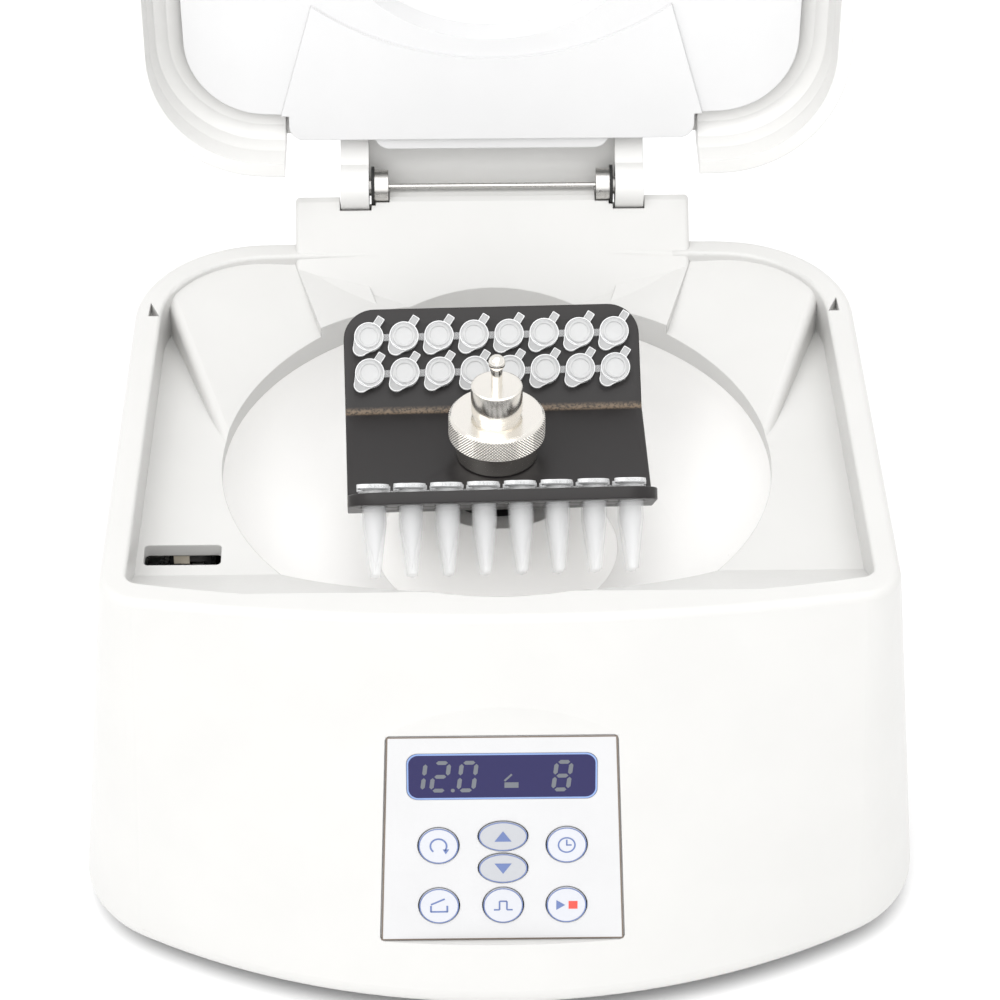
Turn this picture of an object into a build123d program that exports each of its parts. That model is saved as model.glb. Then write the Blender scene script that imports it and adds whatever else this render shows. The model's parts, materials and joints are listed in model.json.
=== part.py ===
from build123d import *
from math import atan, cos, degrees, radians, sin, tan
import os

# Mini centrifuge for strips of small tubes. Millimetres, Z up.
# The origin is on the bench under the spindle's axis, with the control panel towards -Y.
# The rotor is seated and the lid open. The lid's pieces are drawn closed and then turned about the hinge.

os.makedirs("parts", exist_ok=True)

# Walls and clearances
WALL = 3.0
DECK_T = 3.3
GAP = 0.3
RUN_FIT = 0.05

# The bowl and the margins round it set the rim's plan
BOWL_R = 69.5
SIDE_MARGIN = 27.1
NOSE_MARGIN = 8.0
TAIL_MARGIN = 13.0
RIM_BAND = 6.6
RIM_OUTER_R = 2.0
RIM_INNER_R = 1.0

# Heights above the bench follow the rim's
FOOT_H = 4.0
RIM_Z = 109.5
FLAT_Z = RIM_Z - 12.7
PLATE_TOP = RIM_Z - 9.5
BOWL_FLOOR = PLATE_TOP - 30.0
HINGE_Z = RIM_Z + 12.0
LINER_Z = RIM_Z + 11.5
RECESS_Z = RIM_Z + 24.5
LID_TOP = RIM_Z + 43.5

# The rim's outline: half widths and Y places of its corners, and their radii
RIM = dict(
    front_x=BOWL_R + SIDE_MARGIN,
    front_y=-BOWL_R - NOSE_MARGIN + 8.9,
    nose_y=-BOWL_R - NOSE_MARGIN,
    rear_x=BOWL_R + SIDE_MARGIN - 4.0,
    rear_y=BOWL_R + TAIL_MARGIN - 2.0,
    tail_y=BOWL_R + TAIL_MARGIN,
    r_front=10.0,
    r_rear=34.0,
)
# How far the foot's outline goes beyond the rim's
FLARE = dict(front_x=9.7, front_y=2.6, nose_y=-25.7, rear_x=7.9, rear_y=9.5, tail_y=9.5, r_front=22.0, r_rear=-4.0)
BASE = {key: RIM[key] + FLARE[key] for key in RIM}
FOOT_EDGE_R = 5.0

# Deck: a flat each side of the bowl, a ramp in front and a sloping deck behind
FLAT_FRONT_Y = RIM["nose_y"] + 33.1
RAMP_TOP_Y = RIM["nose_y"] + 10.0
CREASE_FRONT = (BOWL_R - 1.2, 7.1)
CREASE_REAR = (RIM["rear_x"] - 4.9, RIM["tail_y"] - 16.8)
CREASE_R = 2.2
STEP_FRONT = (45.2, RIM["tail_y"] - 30.5)
STEP_REAR = (54.6, RIM["tail_y"] - 0.5)
STEP_Z = FLAT_Z + 3.5
STEP_SLOPE_X = 0.208
STEP_SLOPE_Y = 0.164

# Hinge and the block that carries it
HINGE_Y = RIM["tail_y"] + 7.6
LID_OPEN_ANGLE = 98.7
BLOCK_HALF = 52.3
BLOCK_FOOT_Y = HINGE_Y - 28.7
BLOCK_FOOT_Z = FLAT_Z - 2.3
CREST_Y = HINGE_Y - 2.5
CREST_Z = HINGE_Z - 1.7
BLOCK_REAR_Y = HINGE_Y + 4.1
BLOCK_EDGE_R = 1.2
TOWER_LOW_Z = RIM_Z - 59.5
ARM_IN = 32.4
ARM_OUT = 40.2
ARM_END_R = 6.3
BARREL_R = 4.5
BARREL_IN = 27.6
PIN_R = 2.5
WASHER_R = 5.3
WASHER_T = 0.8
ROD_R = 0.7

# Latch
SLOT_X = (-BOWL_R - 17.9, -BOWL_R + 1.1)
SLOT_Y = (FLAT_FRONT_Y + 4.1, FLAT_FRONT_Y + 12.0)
SLOT_R = 1.2
STRIKER_X = (SLOT_X[0] + 6.4, SLOT_X[1] - 2.2)
STRIKER_Y = (SLOT_Y[0] + 3.0, SLOT_Y[1] - 3.0)
STRIKER_LOW = FLAT_Z - 12.8
BOLT_X = (STRIKER_X[0] + 2.4, STRIKER_X[1] - 2.4)
BOLT_Z = (STRIKER_LOW + 2.5, STRIKER_LOW + 6.0)
BOLT_L = 13.0
LATCH_X = (SLOT_X[0] + 5.8, SLOT_X[0] + 16.2)
LATCH_L = 18.0

# Control panel in its recess on the sloping front
PANEL_LOW_Z = 22.9
PANEL_HIGH_Z = 77.9
PANEL_SINK_LOW = 2.3
PANEL_SINK_HIGH = 1.35
PANEL_TOP_W = 55.6
PANEL_FOOT_W = 59.6
PANEL_CORNER_R = 1.0
OVERLAY_T = 1.0
SCOOP_H = 8.5
DISPLAY_W = 46.1
DISPLAY_H = 12.6
DISPLAY_V = 17.3
DISPLAY_R = 2.8
KEY_D = 9.7
OVAL_KEY_W = 11.8
OVAL_KEY_H = 8.0
KEY_T = 0.3
KEYS = dict(speed_key=(-15.5, -1.7), time_key=(15.7, -1.7), door_key=(-15.5, -18.5), pulse_key=(0.2, -18.5),
            start_key=(15.7, -18.5))
OVAL_KEYS = dict(up_key=(0.2, 0.8), down_key=(0.2, -8.1))

# Rotor: a bent plate with two rows of tube holes in each wing
TUBES = 8
TUBE_PITCH = 9.0
TUBE_R = 2.95
TUBE_TIP_R = 1.3
TUBE_WALL = 0.5
TUBE_BELOW = 17.0
PLATE_T = 3.0
PLATE_W = TUBES * TUBE_PITCH + 4.0
TUBE_HOLE_R = TUBE_R + 0.25
BEND_Y = 18.5
WING_ANGLE = 42.0
WING_L = 27.1
WING_CORNER_R = 8.0
ROW_UP_WING = (10.0, 19.5)
CAP_R = TUBE_R + 0.8
CAP_T = 1.5
CAP_SEAT = 1.1
ROTOR_TURN = 1.6

# Spindle, bush and nut
SHAFT_R = 3.0
THREAD_R = SHAFT_R - 0.5
HUB_Z = PLATE_TOP - 5.4
HUB_R = 9.0
NUT_RING_R = 10.25
NUT_RING_H = 5.6
KNURL_R = 12.25
KNURL_H = 6.8
NUT_BOSS_R = 6.5
NUT_BOSS_H = 8.9
NUT_TOP = PLATE_TOP + NUT_RING_H + KNURL_H + NUT_BOSS_H
BALL_R = 2.15
NECK_R = 1.45
LIFT_PIN_H = 9.0

# Chamber
CHAMBER_T = 2.5
CHAMBER_FLOOR_R = 22.0
COWL_TOP = PLATE_TOP - 8.6
COWL_TOP_R = 20.0
COWL_FOOT_R = 31.0
BOOT_R = 15.0

# Motor on its damped plate
BASE_PLATE_T = 3.0
DAMPER_H = 10.0
DAMPER_R = 7.0
DAMPER_REACH = 42.0
MOTOR_PLATE_T = 3.0
MOTOR_R = 30.0
MOTOR_H = 40.0
MOTOR_END_T = 6.0
BEARING_R = 8.0
BEARING_H = 5.0
MOTOR_PLATE_Z = FOOT_H + BASE_PLATE_T + DAMPER_H
MOTOR_Z = MOTOR_PLATE_Z + MOTOR_PLATE_T
MOTOR_TOP = MOTOR_Z + MOTOR_H
SCREW_R = 1.5
SCREW_PLACES = [(sx * (BOWL_R + 14.5), y) for y in (RIM["tail_y"] - 16.5, -38.0) for sx in (-1, 1)]
FOOT_PLACES = [(sx * x, y) for x, y in ((BOWL_R + 0.5, RIM["tail_y"] - 20.5), (BOWL_R + 0.5, -62.0)) for sx in (-1, 1)]
BOSS_R = 4.0
BOSS_H = 19.0
SCREW_HEAD_R = 3.0
SCREW_HEAD_H = 2.0
MOTOR_SCREW_REACH = 20.0

# Rear wall: flat seats for the mains inlet and the switch, and vents
REAR_SEAT_Y = BASE["tail_y"] - 5.0
INLET_X = (36.0, 66.0)
INLET_Z = (12.0, 36.0)
SWITCH_X = (12.0, 26.0)
SWITCH_Z = (14.0, 34.0)
REAR_LIP = 2.0
ROCKER_R = 6.5
ROCKER_ANGLE = 14.0
VENT_Z = (18.0, 44.0)
VENT_X = (-60.0, -48.0, -36.0, -24.0, -12.0)
VENT_HALF = 3.0

# Lid
LID_WALL = 3.5
LID_CUT_HALF = 54.5
LID_CUT_Y = RIM["tail_y"] - 16.5
LINER_STEP = 1.2
POST_PLACES = [(sx * (BOWL_R - 5.5), sy * 40.0) for sx in (-1, 1) for sy in (-1, 1)]
LINER_T = 2.5
LINER_INSET = 12.6
RECESS_R = 48.0


def place(shape, x=0.0, y=0.0, z=0.0):
    return Pos(x, y, z) * shape


def cylinder(radius, low, high, x=0.0, y=0.0):
    return place(Cylinder(radius, high - low, align=(Align.CENTER, Align.CENTER, Align.MIN)), x, y, low)


def block(x, y, z):
    """A box between pairs of X, Y and Z values."""
    low = (Align.MIN, Align.MIN, Align.MIN)
    return place(Box(x[1] - x[0], y[1] - y[0], z[1] - z[0], align=low), x[0], y[0], z[0])


def rod_x(radius, x_low, x_high, y, z):
    """A round bar along X."""
    bar = Cylinder(radius, x_high - x_low, align=(Align.CENTER, Align.CENTER, Align.MIN))
    return Pos(x_low, y, z) * Rot(0, 90, 0) * bar


def prism_x(points, x_low, x_high):
    """A section of (y, z) points drawn along X."""
    return extrude(Plane.YZ.offset(x_low) * make_face(Polyline(*points, close=True)), x_high - x_low)


def both_sides(shape):
    return shape + mirror(shape, about=Plane.YZ)


def group(solids):
    return Compound(children=list(solids))


def revolved(points):
    """A solid of revolution about Z from points (r, z)."""
    return revolve(Plane.XZ * make_face(Polyline(*points, close=True)), Axis.Z)


def outline(size, z, inset=0.0):
    """A four-sided outline with bowed front and rear edges and round corners, drawn in by inset."""
    fx = size["front_x"] - inset
    fy = size["front_y"] + inset
    rx = size["rear_x"] - inset
    ry = size["rear_y"] - inset
    edges = [
        ThreePointArc((-fx, fy), (0, size["nose_y"] + inset), (fx, fy)),
        Line((fx, fy), (rx, ry)),
        ThreePointArc((rx, ry), (0, size["tail_y"] - inset), (-rx, ry)),
        Line((-rx, ry), (-fx, fy)),
    ]
    face = make_face(edges)
    corners = face.vertices().sort_by(Axis.Y)
    face = fillet(corners[:2], max(size["r_front"] - inset, 3.0))
    corners = [v for v in face.vertices() if abs(v.Y - ry) < 0.01 and abs(abs(v.X) - rx) < 0.01]
    face = fillet(corners, max(size["r_rear"] - inset, 3.0))
    return Pos(0, 0, z) * face


def between(z):
    """The housing's outline at a height."""
    share = (z - FOOT_H) / (RIM_Z - FOOT_H)
    return {key: BASE[key] + share * (RIM[key] - BASE[key]) for key in BASE}


def tapered(z_low, z_high, inset):
    """The housing's tapering form between two heights, drawn in by inset."""
    return loft([outline(between(z_low), z_low, inset), outline(between(z_high), z_high, inset)], ruled=True)


def outer_form():
    """The housing's outside with its foot and rim rounded."""
    form = tapered(FOOT_H, RIM_Z, 0)
    form = fillet(form.faces().sort_by(Axis.Z)[0].edges(), FOOT_EDGE_R)
    return fillet(form.faces().sort_by(Axis.Z)[-1].edges(), RIM_OUTER_R)


PANEL_LOW_Y = between(PANEL_LOW_Z)["nose_y"] + PANEL_SINK_LOW
PANEL_HIGH_Y = between(PANEL_HIGH_Z)["nose_y"] + PANEL_SINK_HIGH
PANEL_TILT = degrees(atan((PANEL_HIGH_Y - PANEL_LOW_Y) / (PANEL_HIGH_Z - PANEL_LOW_Z)))
PANEL_H = (PANEL_HIGH_Z - PANEL_LOW_Z) / cos(radians(PANEL_TILT))
panel_plane = Plane(
    origin=(0, (PANEL_LOW_Y + PANEL_HIGH_Y) / 2, (PANEL_LOW_Z + PANEL_HIGH_Z) / 2),
    x_dir=(1, 0, 0),
    z_dir=(0, -cos(radians(PANEL_TILT)), sin(radians(PANEL_TILT))),
)


def panel_face(margin=0.0):
    """The control panel's outline, a little wider at its foot."""
    top = PANEL_TOP_W / 2 + margin
    foot = PANEL_FOOT_W / 2 + margin
    half = PANEL_H / 2 + margin
    face = make_face(Polyline((-foot, -half), (foot, -half), (top, half), (-top, half), close=True))
    return fillet(face.vertices(), PANEL_CORNER_R + max(margin, 0))


def on_panel(sketch, start, depth):
    """A sketch in the panel's plane, moved out by start and extruded along the plane's normal."""
    return extrude(panel_plane.offset(start) * sketch, depth)


def key_place(name):
    return Pos(*(KEYS.get(name) or OVAL_KEYS[name]))


def key_sketch(name, clearance=0.0):
    if name in KEYS:
        return key_place(name) * Circle(KEY_D / 2 + clearance)
    return key_place(name) * Ellipse(OVAL_KEY_W / 2 + clearance, OVAL_KEY_H / 2 + clearance)


def rear_deck():
    """The left half of the deck behind the bowl: a ruled surface from the bowl's edge up to the rim."""
    reach = BOWL_R - 0.4
    bowl_points = [(-reach * cos(radians(a)), reach * sin(radians(a))) for a in (-1.7, 33.4, 64.4)]
    inner = ThreePointArc(*[(x, y, FLAT_Z + rise) for (x, y), rise in zip(bowl_points, (0.4, 1.5, 2.8))])
    side = RIM["rear_x"]
    tail = RIM["tail_y"]
    outer = Spline((-side - 2.4, tail - 36.5, RIM_Z), (-side + 1.1, tail - 25.5, RIM_Z),
                   (-side + 8.1, tail - 12.0, RIM_Z), (-side + 20.6, tail - 2.5, RIM_Z),
                   (-side + 37.6, tail + 0.7, RIM_Z), (-side + 54.6, tail + 1.5, RIM_Z))
    ruled = Face.make_surface_from_curves(inner.edge(), outer.edge())
    inside_x = -CREASE_FRONT[0] + 48
    plan = make_face(Polyline((inside_x, 20), (-CREASE_FRONT[0], CREASE_FRONT[1] - 2), (-CREASE_REAR[0], CREASE_REAR[1]),
                              (-CREASE_REAR[0], 110), (inside_x, 110), close=True))
    deck = extrude(Pos(0, 0, FLAT_Z - DECK_T) * plan, 40) & extrude(ruled, 40, dir=(0, 0, -1))
    middle = (-(CREASE_FRONT[0] + CREASE_REAR[0]) / 2, (CREASE_FRONT[1] + CREASE_REAR[1]) / 2, (FLAT_Z + RIM_Z) / 2)
    return fillet(deck.edges().sort_by_distance(middle)[0], CREASE_R)


def step():
    """The left half of the low step on the rear deck that the hinge block stands on."""
    plan = make_face(Polyline((0, STEP_FRONT[1]), (-STEP_FRONT[0], STEP_FRONT[1]), (-STEP_REAR[0], STEP_REAR[1]),
                              (-STEP_REAR[0], 110), (0, 110), close=True))
    solid = extrude(Pos(0, 0, FLAT_Z - DECK_T) * plan, 40)
    normal = Vector(STEP_SLOPE_X, -STEP_SLOPE_Y, 1).normalized()
    top = Plane(origin=(2.3 - BOWL_R, RIM["tail_y"] - 66.8, STEP_Z), z_dir=normal)
    return split(solid, bisect_by=top, keep=Keep.BOTTOM)


def hinge_block():
    """The block that carries the hinge: its front rises from the bowl, and its shoulders fall away behind."""
    foot = [(BLOCK_REAR_Y, TOWER_LOW_Z + 28), (TAIL_WALL_Y, TOWER_LOW_Z), (TAIL_WALL_Y - 9.5, TOWER_LOW_Z),
            (TAIL_WALL_Y - 9.5, FLAT_Z - DECK_T), (BLOCK_FOOT_Y, FLAT_Z - DECK_T), (BLOCK_FOOT_Y, BLOCK_FOOT_Z)]
    shoulders = [(CREST_Y - 1.6, CREST_Z - 0.5), (CREST_Y, CREST_Z), (BLOCK_REAR_Y, CREST_Z - 7.8)]
    middle = [(CREST_Y - 1.6, CREST_Z - 0.5), (CREST_Y, CREST_Z), (HINGE_Y + 1.5, CREST_Z),
              (BLOCK_REAR_Y, CREST_Z - 3.0)]
    solid = prism_x(shoulders + foot, -BLOCK_HALF, BLOCK_HALF)
    flanks = [e for e in solid.edges() if abs(abs(e.center().X) - BLOCK_HALF) < 0.01 and e.center().Z > FLAT_Z + 3]
    solid = fillet(flanks, BLOCK_EDGE_R)
    solid += prism_x(middle + foot, GAP - ARM_IN, ARM_IN - GAP)
    arm_room = rod_x(ARM_END_R + 2 * GAP, ARM_IN - GAP, ARM_OUT + GAP, HINGE_Y, HINGE_Z)
    arm_room += block((ARM_IN - GAP, ARM_OUT + GAP), (HINGE_Y, 120), (HINGE_Z - ARM_END_R - 2 * GAP, 160))
    barrel_room = rod_x(BARREL_R + GAP, BARREL_IN - GAP, ARM_IN, HINGE_Y, HINGE_Z)
    barrel_room += rod_x(WASHER_R + GAP, ARM_IN - 2 * GAP - WASHER_T, ARM_IN, HINGE_Y, HINGE_Z)
    return solid - both_sides(arm_room) - both_sides(barrel_room)


TAIL_WALL_Y = RIM["tail_y"] + 5.0


def rim_pocket():
    """A small three-sided pocket at the rear end of the left rim."""
    x = 2.6 - RIM["rear_x"]
    y = RIM["tail_y"] - 34.5
    plan = make_face(Polyline((x, y), (x + 2.8, y), (x + 0.4, y + 6.0), close=True))
    return extrude(Pos(0, 0, RIM_Z - 3.0) * plan, 5)


def upper_housing():
    form = outer_form()
    inside = tapered(FOOT_H - 1, FLAT_Z - DECK_T, WALL)
    body = form - extrude(outline(RIM, FLAT_Z, RIM_BAND), RIM_Z - FLAT_Z + 1)
    body = fillet(body.faces().sort_by(Axis.Z)[-1].inner_wires()[0].edges(), RIM_INNER_R)
    ramp = prism_x([(FLAT_FRONT_Y, FLAT_Z - DECK_T), (FLAT_FRONT_Y, FLAT_Z), (RAMP_TOP_Y, RIM_Z - 0.01),
                    (RIM["nose_y"], RIM_Z - 0.01), (RIM["nose_y"], FLAT_Z - DECK_T)], -150, 150)
    body += ramp & tapered(FLAT_Z - DECK_T, RIM_Z, WALL)
    body -= inside
    body += both_sides((rear_deck() + step()) & form)
    body += hinge_block() - inside
    body -= cylinder(BOWL_R, BOWL_FLOOR, LID_TOP)
    body -= both_sides(rim_pocket())
    slot = Pos(sum(SLOT_X) / 2, sum(SLOT_Y) / 2, FLAT_Z - 10)
    body -= extrude(slot * RectangleRounded(SLOT_X[1] - SLOT_X[0], SLOT_Y[1] - SLOT_Y[0], SLOT_R), 20)
    body += on_panel(panel_face(2), 1, -4 - OVERLAY_T) & form
    body -= panel_recess()
    body -= on_panel(Rectangle(PANEL_TOP_W - 6, PANEL_H - 6), 1, -12)
    body += screw_bosses(form)
    body += rear_seats(form)
    return body - rear_openings()


def panel_recess():
    """The cut for the control panel, with the shallow scoop above it."""
    cut = on_panel(panel_face(GAP), 40, -40 - OVERLAY_T)
    y_far = BASE["nose_y"] - 20
    top_y = between(PANEL_HIGH_Z + SCOOP_H)["nose_y"]
    return cut + prism_x([(y_far, PANEL_HIGH_Z), (PANEL_HIGH_Y, PANEL_HIGH_Z), (top_y, PANEL_HIGH_Z + SCOOP_H),
                          (y_far, PANEL_HIGH_Z + 2 * SCOOP_H)], -PANEL_TOP_W / 2 - GAP, PANEL_TOP_W / 2 + GAP)


def screw_bosses(form):
    """Bosses for the base plate's screws, each with a rib to the wall."""
    low = FOOT_H + BASE_PLATE_T
    bosses = []
    for x, y in SCREW_PLACES:
        wall_x = BASE["front_x"] * (1 if x > 0 else -1)
        rib = block((min(x, wall_x), max(x, wall_x)), (y - 1.5, y + 1.5), (low + 1, low + BOSS_H))
        boss = cylinder(BOSS_R, low, low + BOSS_H, x, y) + (rib & form)
        bosses.append(boss - cylinder(SCREW_R + RUN_FIT, low - 1, low + BOSS_H - 3, x, y))
    return bosses


def grown(span, amount):
    return (span[0] - amount, span[1] + amount)


def rear_seats(form):
    """Thicker places in the rear wall behind the inlet and the switch."""
    pads = [block(grown(x, 3), (REAR_SEAT_Y - 3.5, REAR_SEAT_Y + 4), grown(z, 3))
            for x, z in ((INLET_X, INLET_Z), (SWITCH_X, SWITCH_Z))]
    return [pad & form for pad in pads]


def rear_openings():
    """Vents, and the seats with the openings for the mains inlet and the switch."""
    through = (REAR_SEAT_Y - 12, REAR_SEAT_Y + 30)
    cuts = [block((x - VENT_HALF, x + VENT_HALF), through, VENT_Z) for x in VENT_X]
    for x, z in ((INLET_X, INLET_Z), (SWITCH_X, SWITCH_Z)):
        cuts.append(block(grown(x, GAP), (REAR_SEAT_Y, REAR_SEAT_Y + 30), grown(z, GAP)))
        cuts.append(block(grown(x, GAP - REAR_LIP), through, grown(z, GAP - REAR_LIP)))
    return cuts


def inlet_pins():
    """Three flat contacts, with their tags behind the inlet."""
    mid_x = sum(INLET_X) / 2
    mid_z = sum(INLET_Z) / 2
    places = [(mid_x - 7, mid_z - 1.5), (mid_x, mid_z + 2.5), (mid_x + 7, mid_z - 1.5)]
    return group(block((x - 1, x + 1), (REAR_SEAT_Y - 21, REAR_SEAT_Y - 3), (z - 2, z + 2)) for x, z in places)


def mains_inlet():
    """The socket for a mains lead, pushed into the rear wall."""
    socket = block(INLET_X, (REAR_SEAT_Y, REAR_SEAT_Y + 2), INLET_Z)
    socket += block(grown(INLET_X, -REAR_LIP), (REAR_SEAT_Y - 17, REAR_SEAT_Y), grown(INLET_Z, -REAR_LIP))
    socket = socket.chamfer(1.0, None, socket.edges().filter_by(Axis.Y).sort_by(Axis.Z)[-2:])
    socket -= block(grown(INLET_X, -4.5), (REAR_SEAT_Y - 14, REAR_SEAT_Y + 5), grown(INLET_Z, -4.5))
    return socket - inlet_pins()


SWITCH_MID_Z = sum(SWITCH_Z) / 2
ROCKER_PIVOT_Y = REAR_SEAT_Y
ROCKER_FACE_Y = REAR_SEAT_Y + 2.2


def switch_frame():
    frame = block(SWITCH_X, (REAR_SEAT_Y, REAR_SEAT_Y + 2), SWITCH_Z)
    frame += block(grown(SWITCH_X, -REAR_LIP), (REAR_SEAT_Y - 14, REAR_SEAT_Y), grown(SWITCH_Z, -REAR_LIP))
    frame -= block(grown(SWITCH_X, -REAR_LIP - 1.2), (REAR_SEAT_Y - ROCKER_R - 1, REAR_SEAT_Y + 5),
                   (SWITCH_MID_Z - ROCKER_R - GAP, SWITCH_MID_Z + ROCKER_R + GAP))
    return frame - rod_x(1.0 + RUN_FIT, SWITCH_X[0] + REAR_LIP + 0.4, SWITCH_X[1] - REAR_LIP - 0.4, ROCKER_PIVOT_Y,
                         SWITCH_MID_Z)


def switch_rocker():
    """The rocker, drawn with its upper half pushed in."""
    reach = 2 * ROCKER_R
    side = grown(SWITCH_X, -REAR_LIP - 1.2 - GAP)
    rocker = rod_x(ROCKER_R, side[0], side[1], ROCKER_PIVOT_Y, SWITCH_MID_Z)
    rocker &= prism_x([(ROCKER_PIVOT_Y - 4, SWITCH_MID_Z - reach), (ROCKER_PIVOT_Y - 4, SWITCH_MID_Z + reach),
                       (ROCKER_FACE_Y, SWITCH_MID_Z + reach), (ROCKER_FACE_Y, SWITCH_MID_Z),
                       (ROCKER_FACE_Y + reach * tan(radians(ROCKER_ANGLE)), SWITCH_MID_Z - reach)], side[0], side[1])
    return rocker + rod_x(1.0, side[0] - 0.7, side[1] + 0.7, ROCKER_PIVOT_Y, SWITCH_MID_Z)


def base_plate():
    plate = extrude(outline(BASE, FOOT_H, WALL + GAP + 1), BASE_PLATE_T)
    return plate - [cylinder(SCREW_R + GAP, 0, 20, x, y) for x, y in SCREW_PLACES]


def screw(seat_z, length, x, y):
    """A screw driven upwards, its head under the seat."""
    head = cylinder(SCREW_HEAD_R, seat_z - SCREW_HEAD_H, seat_z, x, y)
    head -= cylinder(1.2, seat_z - SCREW_HEAD_H - 1, seat_z - SCREW_HEAD_H + 1.2, x, y)
    return head + cylinder(SCREW_R, seat_z, seat_z + length, x, y)


def rotor_chamber():
    """The bowl: its wall, the round floor edge and the floor."""
    top = FLAT_Z - DECK_T
    centre_z = BOWL_FLOOR + CHAMBER_FLOOR_R
    inner_r = BOWL_R - CHAMBER_FLOOR_R
    inside_r = CHAMBER_FLOOR_R * sin(radians(45))
    outside_r = (CHAMBER_FLOOR_R + CHAMBER_T) * sin(radians(45))
    low = BOWL_FLOOR - CHAMBER_T
    section = [
        Line((BOWL_R, top), (BOWL_R, centre_z)),
        ThreePointArc((BOWL_R, centre_z), (inner_r + inside_r, centre_z - inside_r), (inner_r, BOWL_FLOOR)),
        Line((inner_r, BOWL_FLOOR), (COWL_FOOT_R, BOWL_FLOOR)),
        Line((COWL_FOOT_R, BOWL_FLOOR), (COWL_FOOT_R, low)),
        Line((COWL_FOOT_R, low), (inner_r, low)),
        ThreePointArc((inner_r, low), (inner_r + outside_r, centre_z - outside_r), (BOWL_R + CHAMBER_T, centre_z)),
        Line((BOWL_R + CHAMBER_T, centre_z), (BOWL_R + CHAMBER_T, top)),
        Line((BOWL_R + CHAMBER_T, top), (BOWL_R, top)),
    ]
    return revolve(Plane.XZ * make_face(section), Axis.Z)


def spindle_cowl():
    """The cone round the spindle, set into the bowl's floor."""
    low = BOWL_FLOOR - CHAMBER_T
    return revolved([(COWL_FOOT_R, low), (COWL_FOOT_R, BOWL_FLOOR), (COWL_TOP_R, COWL_TOP), (BOOT_R, COWL_TOP),
                     (BOOT_R, COWL_TOP - CHAMBER_T), (COWL_TOP_R - CHAMBER_T, COWL_TOP - CHAMBER_T),
                     (COWL_FOOT_R - CHAMBER_T, low)])


def shaft_boot():
    """The rubber disc that closes the cowl round the shaft."""
    low = COWL_TOP - CHAMBER_T
    return cylinder(BOOT_R, low, COWL_TOP + 0.2) - cylinder(SHAFT_R + 1.0, low - 1, COWL_TOP + 1)


DAMPER_PLACES = [(DAMPER_REACH * cos(radians(a)), DAMPER_REACH * sin(radians(a))) for a in (45, 135, 225, 315)]
MOTOR_SCREW_PLACES = [(MOTOR_SCREW_REACH * cos(radians(a)), MOTOR_SCREW_REACH * sin(radians(a)))
                      for a in (0, 90, 180, 270)]


def vibration_dampers():
    low = FOOT_H + BASE_PLATE_T
    waist = DAMPER_R - 1.5
    profile = [(0, low), (DAMPER_R, low), (DAMPER_R, low + 2.5), (waist, low + 5), (DAMPER_R, low + 7.5),
               (DAMPER_R, low + DAMPER_H), (0, low + DAMPER_H)]
    return group(place(revolved(profile), x, y) for x, y in DAMPER_PLACES)


def motor_plate():
    side = 2 * DAMPER_REACH * cos(radians(45)) + 2 * DAMPER_R
    plate = extrude(Pos(0, 0, MOTOR_PLATE_Z) * RectangleRounded(side, side, DAMPER_R), MOTOR_PLATE_T)
    plate -= [cylinder(SCREW_R + RUN_FIT, 0, MOTOR_TOP, x, y) for x, y in MOTOR_SCREW_PLACES]
    return plate - cylinder(BEARING_R - 1.5, 0, MOTOR_TOP)


def motor_can():
    can = cylinder(MOTOR_R, MOTOR_Z, MOTOR_TOP)
    can -= cylinder(MOTOR_R - 2, MOTOR_Z + MOTOR_END_T, MOTOR_TOP - MOTOR_END_T)
    can -= cylinder(BEARING_R, MOTOR_Z - 1, MOTOR_Z + MOTOR_END_T + 0.5)
    can -= cylinder(BEARING_R, MOTOR_TOP - MOTOR_END_T - 0.5, MOTOR_TOP + 1)
    return can - [cylinder(SCREW_R + RUN_FIT, MOTOR_Z - 1, MOTOR_Z + MOTOR_END_T - 1, x, y)
                  for x, y in MOTOR_SCREW_PLACES]


def motor_bearings():
    ring = cylinder(BEARING_R, 0, BEARING_H) - cylinder(SHAFT_R + RUN_FIT, -1, BEARING_H + 1)
    return group([place(ring, z=MOTOR_Z + 0.5), place(ring, z=MOTOR_TOP - 0.5 - BEARING_H)])


STATOR_Z = (MOTOR_Z + MOTOR_END_T + 3, MOTOR_TOP - MOTOR_END_T - 3)
STATOR_IN = MOTOR_R - 11


def motor_stator():
    """A ring with six slots for the windings."""
    ring = cylinder(MOTOR_R - 2, *STATOR_Z) - cylinder(STATOR_IN, 0, MOTOR_TOP)
    return ring - [Rot(0, 0, 60 * i) * block((STATOR_IN - 1, STATOR_IN + 5), (-3, 3), (0, MOTOR_TOP))
                   for i in range(6)]


def motor_rotor():
    return cylinder(STATOR_IN - 0.6, *STATOR_Z) - cylinder(SHAFT_R + RUN_FIT, 0, MOTOR_TOP)


def drive_shaft():
    """The shaft, with the flange that the rotor's bush rests on and a threaded end for the nut."""
    shaft = cylinder(SHAFT_R, MOTOR_Z + 0.2, PLATE_TOP - 1)
    shaft += cylinder(HUB_R - 3, HUB_Z - 2, HUB_Z)
    return shaft + cylinder(THREAD_R, PLATE_TOP - 1.5, PLATE_TOP + 9)


def wing_frame(side, up):
    """The plane on a wing's upper face, with X across, at a distance up the wing; side is 1 for the rear one."""
    a = radians(WING_ANGLE)
    point = (0, side * (BEND_Y + up * cos(a)), PLATE_TOP + up * sin(a))
    return Plane(origin=point, x_dir=(side, 0, 0), z_dir=(0, -side * sin(a), cos(a)))


def tube_x(i):
    return (i - (TUBES - 1) / 2) * TUBE_PITCH


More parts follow.
